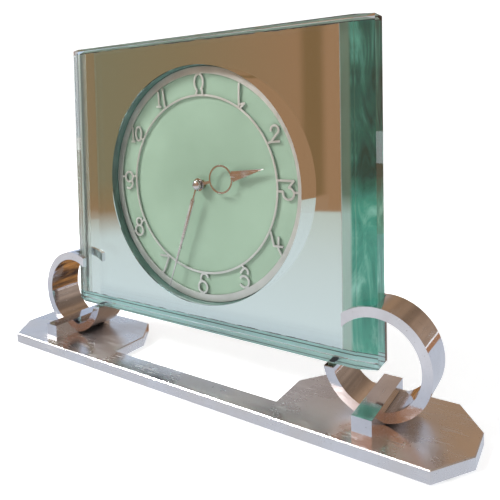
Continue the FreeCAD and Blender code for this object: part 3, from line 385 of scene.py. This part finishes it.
# The top border is plain grey-green. The foot border is painted light, a pale cyan glow of the lit glass edge
# with one dark line across it.
border_and_foot_glow = silver.blend(under_foot, (0.34, 0.44, 0.39),
                           silver.blend(foot_line, (0.50, 0.76, 0.78), (0.05, 0.11, 0.11)))
lost = silver.sum("MAXIMUM", lost, border)
# worn holds the flakes and haze of worn silver, and past the right end the painted edge glow.
worn = silver.blend(flaked, silver.blend(bared, hazy_silver, painted_glow), (0.02, 0.03, 0.03))
worn = silver.blend(border, worn, border_and_foot_glow)
kept_silver = silver.blend(hazed, bright_silver, hazy_silver)
silver.put("Base Color", silver.blend(lost, kept_silver, worn))
cloud = silver.grain(12, detail=5)
silver.put("Roughness", silver.sum("ADD", silver.ramp(cloud, (0.4, 0.015), (0.75, 0.05)),
                                   silver.sum("MULTIPLY", lost, 0.3)))
points, faces = holed_sheet(glass_high[0] - margin, glass_low[2] + margin, glass_high[2] - margin,
                            silver_low[1] - bite, silver_high[1], dial_height, hole_radius)
film = new_piece("silver_film", points, faces, "clock_case", silver, "mirror_silvering")
film.data.polygons.foreach_set("use_smooth", [False] * len(film.data.polygons))


# ---------------------------------------------------------------------------
# Painted shade on the wall of the dial's hole: one brushed coat of dark green,
# a dark sheet standing for the shade of the recess round the dial and the dark
# green of the glass seen edgewise, put on so that the ground glass doesn't
# show round the dial.

shade_coat_depth = 0.00012
arris = 0.0006
# This coat is a dark sheet of painted shade. It also carries the dark green of the glass seen edgewise.
hole_shade_coat = Finish("dark green hole shade", (0.03, 0.07, 0.055), rough=0.4)
brushed = hole_shade_coat.grain(260, detail=5, stretch=(0.3, 1, 0.3))
brush_tone = hole_shade_coat.ramp(brushed, (0.3, (0.022, 0.055, 0.043)), (0.7, (0.06, 0.125, 0.10)))
hole_shade_coat.put("Base Color", brush_tone)
hole_shade_coat.put("Roughness", hole_shade_coat.ramp(brushed, (0.3, 0.3), (0.7, 0.5)))
hole_shade_coat.relief(brushed, 0.00005, 0.6)
steps = 160
wall_gap = 0.00012
outer_wall = hole_radius - wall_gap
coat = [(outer_wall, glass_low[1] + arris), (outer_wall - shade_coat_depth, glass_low[1] + arris),
        (outer_wall - shade_coat_depth, glass_high[1] - arris), (outer_wall, glass_high[1] - arris)]
points = []
faces = []
for k in range(steps):
    angle = 2 * math.pi * k / steps
    points += [(radius * math.cos(angle), y, dial_height + radius * math.sin(angle)) for radius, y in coat]
    n = (k + 1) % steps
    faces += [(4 * k + a, 4 * k + (a + 1) % 4, 4 * n + (a + 1) % 4, 4 * n + a) for a in range(4)]
new_piece("hole_shade_coat", points, faces, "clock_case", hole_shade_coat)


# ---------------------------------------------------------------------------
# Rear board and packing: brown hardboard with a stained face, clipped at its
# corners and screwed through the rings' lips. Two slips of it pack the slots.

board = Finish("brown hardboard", (0.20, 0.12, 0.085), rough=0.6)
matted = board.grain(600, detail=8, stretch=(1, 1, 0.35))
stain = board.grain(14, detail=4)
fibre_tone = board.ramp(matted, (0.3, (0.13, 0.075, 0.05)), (0.75, (0.25, 0.155, 0.11)))
stained = board.ramp(stain, (0.35, 0.0), (0.8, 0.5))
board.put("Base Color", board.blend(stained, fibre_tone, (0.10, 0.06, 0.045)))
board.put("Roughness", board.ramp(matted, (0.3, 0.48), (0.7, 0.75)))
board.relief(matted, 0.00012, 0.7)
dress(board, "rear_panel", "packing_strips")
soften(0.0004, "rear_panel", "packing_strips")


# ---------------------------------------------------------------------------
# Dial pan, studs and disc: a spun aluminium pan behind the glass carries a
# flat disc sprayed in sage green lacquer with a soft metallic sheen.

pan_paint = Finish("pan silver lacquer", (0.50, 0.54, 0.52), metal=0.6, rough=0.35)
pan_spray = pan_paint.grain(2200, detail=3)
pan_paint.put("Roughness", pan_paint.ramp(pan_spray, (0.3, 0.28), (0.7, 0.45)))
pan_paint.relief(pan_spray, 0.00003, 0.5)
dress(pan_paint, "dial_pan")
soften(0.0004, "dial_pan")

disc_paint = Finish("sage green lacquer", (0.22, 0.35, 0.27), rough=0.30, metal=0.25)
faded = disc_paint.grain(11, detail=3)
speckle = disc_paint.grain(3000, detail=3)
fresh_tone = disc_paint.ramp(faded, (0.32, (0.18, 0.26, 0.193)), (0.68, (0.235, 0.33, 0.25)))
flecked = disc_paint.ramp(speckle, (0.62, 0.0), (0.8, 0.35))
disc_paint.put("Base Color", disc_paint.blend(flecked, fresh_tone, (0.12, 0.20, 0.155)))
disc_paint.put("Roughness", disc_paint.ramp(faded, (0.3, 0.26), (0.7, 0.38)))
disc_paint.relief(speckle, 0.00002, 0.5)
dress(disc_paint, "dial_disc")


# ---------------------------------------------------------------------------
# Chapter ring: twelve numerals and their two rings pierced from one sheet of
# silvered metal, standing on short pins a little in front of the disc.

numeral_silver = Finish("satin silvered metal", (0.78, 0.80, 0.80), metal=0.85)
tarnish = numeral_silver.grain(45, detail=5)
silver_tone = numeral_silver.ramp(tarnish, (0.35, (0.60, 0.63, 0.61)), (0.72, (0.47, 0.50, 0.48)))
numeral_silver.put("Base Color", silver_tone)
rubbed = numeral_silver.grain(1200, stretch=(1, 1, 0.1))
numeral_silver.put("Roughness", numeral_silver.ramp(rubbed, (0.3, 0.30), (0.7, 0.44)))
numeral_silver.relief(numeral_silver.grain(2600, detail=3), 0.00002, 0.4)
dress(numeral_silver, "chapter_ring", "chapter_spacers")


# ---------------------------------------------------------------------------
# Hands and hub: stamped hands, the minute hand a long lance and the hour hand
# a hoop with a broad point, chromed, pushed on their pipes under a domed nut.

def lathed(profile, centre, steps=96):
    """Points and faces turned about the front-to-back axis; the profile gives (radius, y)."""
    points = []
    rings = []
    faces = []
    for radius, y in profile:
        if radius < 1e-7:
            rings.append([len(points)] * steps)
            points.append((centre[0], y, centre[1]))
            continue
        rings.append(list(range(len(points), len(points) + steps)))
        for k in range(steps):
            angle = 2 * math.pi * k / steps
            points.append((centre[0] + radius * math.cos(angle), y, centre[1] + radius * math.sin(angle)))
    for here, there in zip(rings, rings[1:]):
        for k in range(steps):
            n = (k + 1) % steps
            faces.append(tuple(dict.fromkeys((here[k], here[n], there[n], there[k]))))
    return points, faces


def ridged_blade(stations, front, crown, turn, edge=0.0003):
    """A hand's blade: a ridge along its middle falls to two thin edges; `turn` is clockwise from twelve."""
    points = []
    for along, half in stations:
        section = ((-half, front - edge), (0.0, front - crown), (half, front - edge), (half, front),
                   (-half, front))
        for across, y in section:
            x = across * math.cos(turn) + along * math.sin(turn)
            z = along * math.cos(turn) - across * math.sin(turn)
            points.append((x, y, dial_height + z))
    faces = [(4, 3, 2, 1, 0)]
    for k in range(len(stations) - 1):
        for a in range(5):
            b = (a + 1) % 5
            faces.append((5 * k + a, 5 * k + b, 5 * k + 5 + b, 5 * k + 5 + a))
    last = 5 * (len(stations) - 1)
    faces.append((last, last + 1, last + 2, last + 3, last + 4))
    return points, faces


hand_chrome = chrome("hand chrome", (0.78, 0.78, 0.79), (0.60, 0.59, 0.58), clouds=120, dull=0.30)
dress(hand_chrome, "minute_hand", "hour_hand")
soften(0.00012, "minute_hand")
soften(0.00015, "hour_hand")

minutes_shown = 33.3
hours_shown = 2
minute_turn = math.radians(6 * minutes_shown)
hour_turn = math.radians(30 * hours_shown) + minute_turn / 12
ridge = 0.00022
minute_stations = [(0.0108, 0.00120), (0.0220, 0.00110), (0.0695, 0.00016)]
hour_stations = [(0.0266, 0.0026), (0.0275, 0.0028), (0.0490, 0.0002)]
for hand, body, stations, turn in (("minute_hand", "minute_work", minute_stations, minute_turn),
                                   ("hour_hand", "hour_work", hour_stations, hour_turn)):
    hand_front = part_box(hand)[0][1]
    points, faces = ridged_blade(stations, hand_front, ridge, turn)
    blade = new_piece(hand + "_ridge", points, faces, body, hand_chrome)
    blade.data.polygons.foreach_set("use_smooth", [False] * len(blade.data.polygons))

nut_low, nut_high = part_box("hand_nut")
nut_radius = nut_high[0]
nut_rise = nut_high[1] - nut_low[1]
rounding = [math.radians(90 * k / 12) for k in range(13)]
nut_fullness = 0.8
nut_rim = 0.0003
nut_profile = [(nut_radius * math.sin(a), nut_high[1] - nut_rise * math.cos(a) ** nut_fullness)
               for a in rounding]
nut_profile[-1] = (nut_radius, nut_high[1] - nut_rim)
nut_profile += [(nut_radius, nut_high[1]), (0.0, nut_high[1])]
points, faces = lathed(nut_profile, (0, dial_height))
hub = new_piece("hub_dome", points, faces, "minute_work", hand_chrome, "hand_nut")
soften(0.00015, hub)


# ---------------------------------------------------------------------------
# Movement: a key-wound movement of brass plates, wheels and barrel with
# steel arbors and pinions, held between the dial pan and the rear cover.

def turned_brass(name, centre):
    """Lacquered brass, turned or planished, gone a little brown."""
    metal = Finish(name, (0.72, 0.52, 0.22), metal=1.0, centre=centre)
    rings = metal.lathe_rings(700)
    aged = metal.grain(60, detail=5)
    metal.put("Base Color", metal.ramp(aged, (0.3, (0.74, 0.55, 0.25)), (0.75, (0.52, 0.34, 0.13))))
    metal.put("Roughness", metal.sum("ADD", metal.ramp(rings, (0.0, 0.20), (1.0, 0.32)),
                                     metal.ramp(aged, (0.4, 0.0), (0.8, 0.15))))
    metal.relief(rings, 0.00001, 0.6)
    return metal


def middle_of(name):
    low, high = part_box(name)
    return [(a + b) / 2 for a, b in zip(low, high)]


brass_nodes = ("hour_wheel", "minute_wheel", "centre_wheel", "third_wheel", "escape_wheel", "balance_wheel",
               "mainspring_barrel", "barrel_lid", "movement_front_plate", "movement_back_plate",
               "regulator_lever", "set_knob")
for name in brass_nodes:
    dress(turned_brass(name.replace("_", " ") + " brass", middle_of(name)), name)
dress(turned_brass("pillar brass", (0, 0, dial_height)), "movement_pillars")
soften(0.00015, "set_knob", "regulator_lever", "barrel_lid", "movement_front_plate", "movement_back_plate")

arbor_steel = Finish("polished arbor steel", (0.58, 0.58, 0.60), metal=1.0, centre=(0, 0, dial_height))
polish = arbor_steel.grain(2000, detail=4, stretch=(1, 0.1, 1))
arbor_steel.put("Roughness", arbor_steel.ramp(polish, (0.3, 0.14), (0.7, 0.30)))
arbor_steel.put("Base Color", arbor_steel.ramp(polish, (0.3, (0.62, 0.62, 0.64)), (0.8, (0.42, 0.40, 0.38))))
arbor_steel.relief(polish, 0.00001, 0.5)
dress(arbor_steel, "dial_feet", "minute_wheel_post", "click_post", "regulator_post", "centre_arbor",
      "barrel_arbor", "ratchet_wheel", "ratchet_click", "pallet_lever", "cannon_pinion")

blued = Finish("blued spring steel", (0.05, 0.08, 0.22), metal=1.0)
temper = blued.grain(90, detail=3)
blued.put("Base Color", blued.ramp(temper, (0.3, (0.04, 0.07, 0.24)), (0.7, (0.12, 0.09, 0.20))))
blued.put("Roughness", blued.ramp(temper, (0.3, 0.22), (0.7, 0.36)))
blued.relief(blued.grain(1800, stretch=(1, 0.1, 1)), 0.00001, 0.5)
dress(blued, "hairspring", "mainspring")


# ---------------------------------------------------------------------------
# Rear cover: a drawn steel cup with a flange, stoved in black crackle enamel
# and screwed to the board. The knob and the winding key come out of it.

cover_paint = Finish("black stove enamel", (0.02, 0.02, 0.023), rough=0.35)
crackle = cover_paint.grain(1400, detail=2, warp=1.5)
worn = cover_paint.ramp(cover_paint.grain(70, detail=8, rough=0.7), (0.66, 0.0), (0.72, 1.0))
cover_paint.put("Base Color", cover_paint.blend(worn, (0.018, 0.018, 0.021), (0.10, 0.09, 0.08)))
cover_paint.put("Roughness", cover_paint.ramp(crackle, (0.35, 0.26), (0.65, 0.5)))
cover_paint.relief(crackle, 0.00008, 0.8)
dress(cover_paint, "movement_cover")
soften(0.0006, "movement_cover", steps=3)

key_nickel = chrome("key nickel", (0.66, 0.63, 0.58), (0.50, 0.45, 0.38), clouds=150, dull=0.34)
dress(key_nickel, "winding_key")
soften(0.0002, "winding_key")


# ---------------------------------------------------------------------------
# Room, light and camera: none of it belongs to the clock. A white floor and one soft
# window light it. Brown paper, a pale cloth and an amber board give the mirror and
# the plate a room to reflect.

def card(name, corners, finish, through_glass=True):
    """A flat glowing reflector that only shows in shiny surfaces."""
    mesh = bpy.data.meshes.new(name)
    mesh.from_pydata(corners, [], [tuple(range(len(corners)))])
    made = bpy.data.objects.new(name, mesh)
    bpy.context.scene.collection.objects.link(made)
    mesh.materials.append(finish.material)
    made.visible_camera = False
    made.visible_diffuse = False
    made.visible_shadow = False
    made.visible_transmission = through_glass


def glow(name, strength):
    return Finish(name, (0, 0, 0), rough=1.0, Specular_IOR_Level=0.0, Emission_Strength=strength)


def papered_brown(finish):
    """The room's brown paper: olive to the left, warmer to the right, with one dark upright strip."""
    dark_strip = (0.31, 0.165, 0.075)
    warm = (0.49, 0.25, 0.135)
    return finish.ramp(finish.along("X", -1.10, 0.0), (0.0, (0.30, 0.25, 0.155)), (0.40, (0.36, 0.235, 0.13)),
                       (0.70, (0.46, 0.235, 0.125)), (0.715, dark_strip), (0.745, dark_strip), (0.76, warm),
                       (1.0, warm))


floor_mesh = bpy.data.meshes.new("studio_floor")
floor_reach = 6
floor_corners = [(x * floor_reach, y * floor_reach, 0) for x, y in ((-1, -1), (1, -1), (1, 1), (-1, 1))]
floor_mesh.from_pydata(floor_corners, [], [(0, 1, 2, 3)])
floor = bpy.data.objects.new("studio_floor", floor_mesh)
bpy.context.scene.collection.objects.link(floor)
floor_paint = Finish("studio floor", (0.90, 0.90, 0.90), rough=0.9, Specular_IOR_Level=0.0,
                     Emission_Color=(1, 1, 1, 1), Emission_Strength=0.55)
floor_mesh.materials.append(floor_paint.material)

wall_y = -0.75
wall_foot, wall_top = -0.001, 2.0
room_left, room_right, room_back = -3.0, 1.2, 1.5
papered = glow("brown wall", 0.85)
papered.put("Emission Color", papered_brown(papered))
card("brown_wall", [(room_left, wall_y, wall_foot), (room_right, wall_y, wall_foot),
                    (room_right, wall_y, wall_top), (room_left, wall_y, wall_top)], papered)

table_centre = (0.0, -0.05, 0.0)
table_radius = 0.54
table_edge = 0.004
cloth_height = 0.0004
cloth = glow("pale cloth", 0.85)
spread = cloth.along("Y", wall_y, -0.06)
pale = cloth.ramp(spread, (0.0, (0.66, 0.62, 0.53)), (0.5, (0.78, 0.77, 0.73)), (0.93, (0.90, 0.91, 0.95)),
                  (0.99, (0.68, 0.72, 0.80)))
reach = cloth.tree.nodes.new("ShaderNodeVectorMath")
reach.operation = "DISTANCE"
cloth.join(reach.inputs[0], cloth.place)
reach.inputs[1].default_value = table_centre


def beyond(start, end):
    made = cloth.tree.nodes.new("ShaderNodeMapRange")
    cloth.join(made.inputs["Value"], reach.outputs["Value"])
    made.inputs["From Min"].default_value = start
    made.inputs["From Max"].default_value = end
    return made.outputs["Result"]


off_table = cloth.blend(cloth.along("X", -0.42, -0.26), beyond(table_radius - 0.14, table_radius + 0.10),
                        beyond(table_radius - table_edge, table_radius + table_edge))
cloth.put("Emission Color", cloth.blend(off_table, pale, papered_brown(cloth)))
card("pale_cloth", [(room_left, wall_y, cloth_height), (room_right, wall_y, cloth_height),
                    (room_right, room_back, cloth_height), (room_left, room_back, cloth_height)], cloth)

amber_height = 0.0006
amber = glow("amber board", 0.75)
amber.put("Emission Color", amber.ramp(amber.grain(26, detail=3), (0.40, (0.09, 0.055, 0.04)),
                                       (0.62, (0.72, 0.34, 0.11))))
amber_corners = [(-0.20, 0.02), (0.10, 0.02), (0.16, 0.30), (-0.24, 0.30)]
card("amber_board", [(x, y, amber_height) for x, y in amber_corners], amber, through_glass=False)

world = bpy.data.worlds.new("studio")
bpy.context.scene.world = world
world.use_nodes = True
tree = world.node_tree
seen = tree.nodes["Background"]
seen.inputs["Color"].default_value = (1, 1, 1, 1)
seen.inputs["Strength"].default_value = 1.12
shone = tree.nodes.new("ShaderNodeBackground")
heading = tree.nodes.new("ShaderNodeTexCoord").outputs["Generated"]
sideways = tree.nodes.new("ShaderNodeSeparateXYZ")
tree.links.new(heading, sideways.inputs[0])
halved = tree.nodes.new("ShaderNodeMapRange")
halved.inputs["From Min"].default_value = -1.0
tree.links.new(sideways.outputs["X"], halved.inputs["Value"])
shades = tree.nodes.new("ShaderNodeValToRGB")
room_shades = ((0.125, (0.50, 0.58, 0.72)), (0.19, (0.45, 0.49, 0.55)), (0.29, (0.38, 0.34, 0.33)),
               (0.40, (0.30, 0.19, 0.11)), (0.65, (0.27, 0.18, 0.12)), (1.0, (0.40, 0.32, 0.26)))
while len(shades.color_ramp.elements) < len(room_shades):
    shades.color_ramp.elements.new(0.5)
for element, (at, colour) in zip(shades.color_ramp.elements, room_shades):
    element.position = at
    element.color = (*colour, 1)
tree.links.new(halved.outputs["Result"], shades.inputs["Fac"])
tree.links.new(shades.outputs["Color"], shone.inputs["Color"])
furnishing = tree.nodes.new("ShaderNodeTexNoise")
furnishing.inputs["Scale"].default_value = 3.0
furnishing.inputs["Detail"].default_value = 3.0
tree.links.new(heading, furnishing.inputs["Vector"])
uneven = tree.nodes.new("ShaderNodeMapRange")
for socket, value in (("From Min", 0.36), ("From Max", 0.64), ("To Min", 0.6), ("To Max", 1.45)):
    uneven.inputs[socket].default_value = value
tree.links.new(furnishing.outputs["Fac"], uneven.inputs["Value"])
tree.links.new(uneven.outputs["Result"], shone.inputs["Strength"])
soft = tree.nodes.new("ShaderNodeBackground")
soft.inputs["Strength"].default_value = 0.62
path = tree.nodes.new("ShaderNodeLightPath")
lit = tree.nodes.new("ShaderNodeMixShader")
mixed = tree.nodes.new("ShaderNodeMixShader")
tree.links.new(path.outputs["Is Diffuse Ray"], lit.inputs[0])
tree.links.new(seen.outputs[0], lit.inputs[1])
tree.links.new(soft.outputs[0], lit.inputs[2])
tree.links.new(path.outputs["Is Glossy Ray"], mixed.inputs[0])
tree.links.new(lit.outputs[0], mixed.inputs[1])
tree.links.new(shone.outputs[0], mixed.inputs[2])
tree.links.new(mixed.outputs[0], tree.nodes["World Output"].inputs["Surface"])

key_light = bpy.data.lights.new("window", "AREA")
key_light.energy = 40
key_light.size = 0.5
lamp = bpy.data.objects.new("window", key_light)
bpy.context.scene.collection.objects.link(lamp)
lamp.location = (-0.8, -0.8, 1.1)
lamp.rotation_euler = (Vector((0, 0, 0.1)) - lamp.location).to_track_quat("-Z", "Y").to_euler()

yaw, pitch, roll = (math.radians(angle) for angle in (31.973, -2.165, -1.029))
eye = Vector((0.204853, -0.262657, 0.157771))
ahead = Vector((-math.sin(yaw) * math.cos(pitch), math.cos(yaw) * math.cos(pitch), math.sin(pitch)))
level = Vector((math.cos(yaw), math.sin(yaw), 0))
upright = level.cross(ahead)
right = math.cos(roll) * level + math.sin(roll) * upright
up = -math.sin(roll) * level + math.cos(roll) * upright
lens = bpy.data.cameras.new("camera")
camera = bpy.data.objects.new("camera", lens)
bpy.context.scene.collection.objects.link(camera)
camera.matrix_world = Matrix((right, up, -ahead)).transposed().to_4x4()
camera.location = eye
lens.sensor_width = 36
lens.lens = 37.697472
lens.shift_x = -0.03
lens.shift_y = -0.219594
lens.clip_start = 0.01
bpy.context.scene.camera = camera
bpy.context.scene.view_settings.view_transform = "Standard"
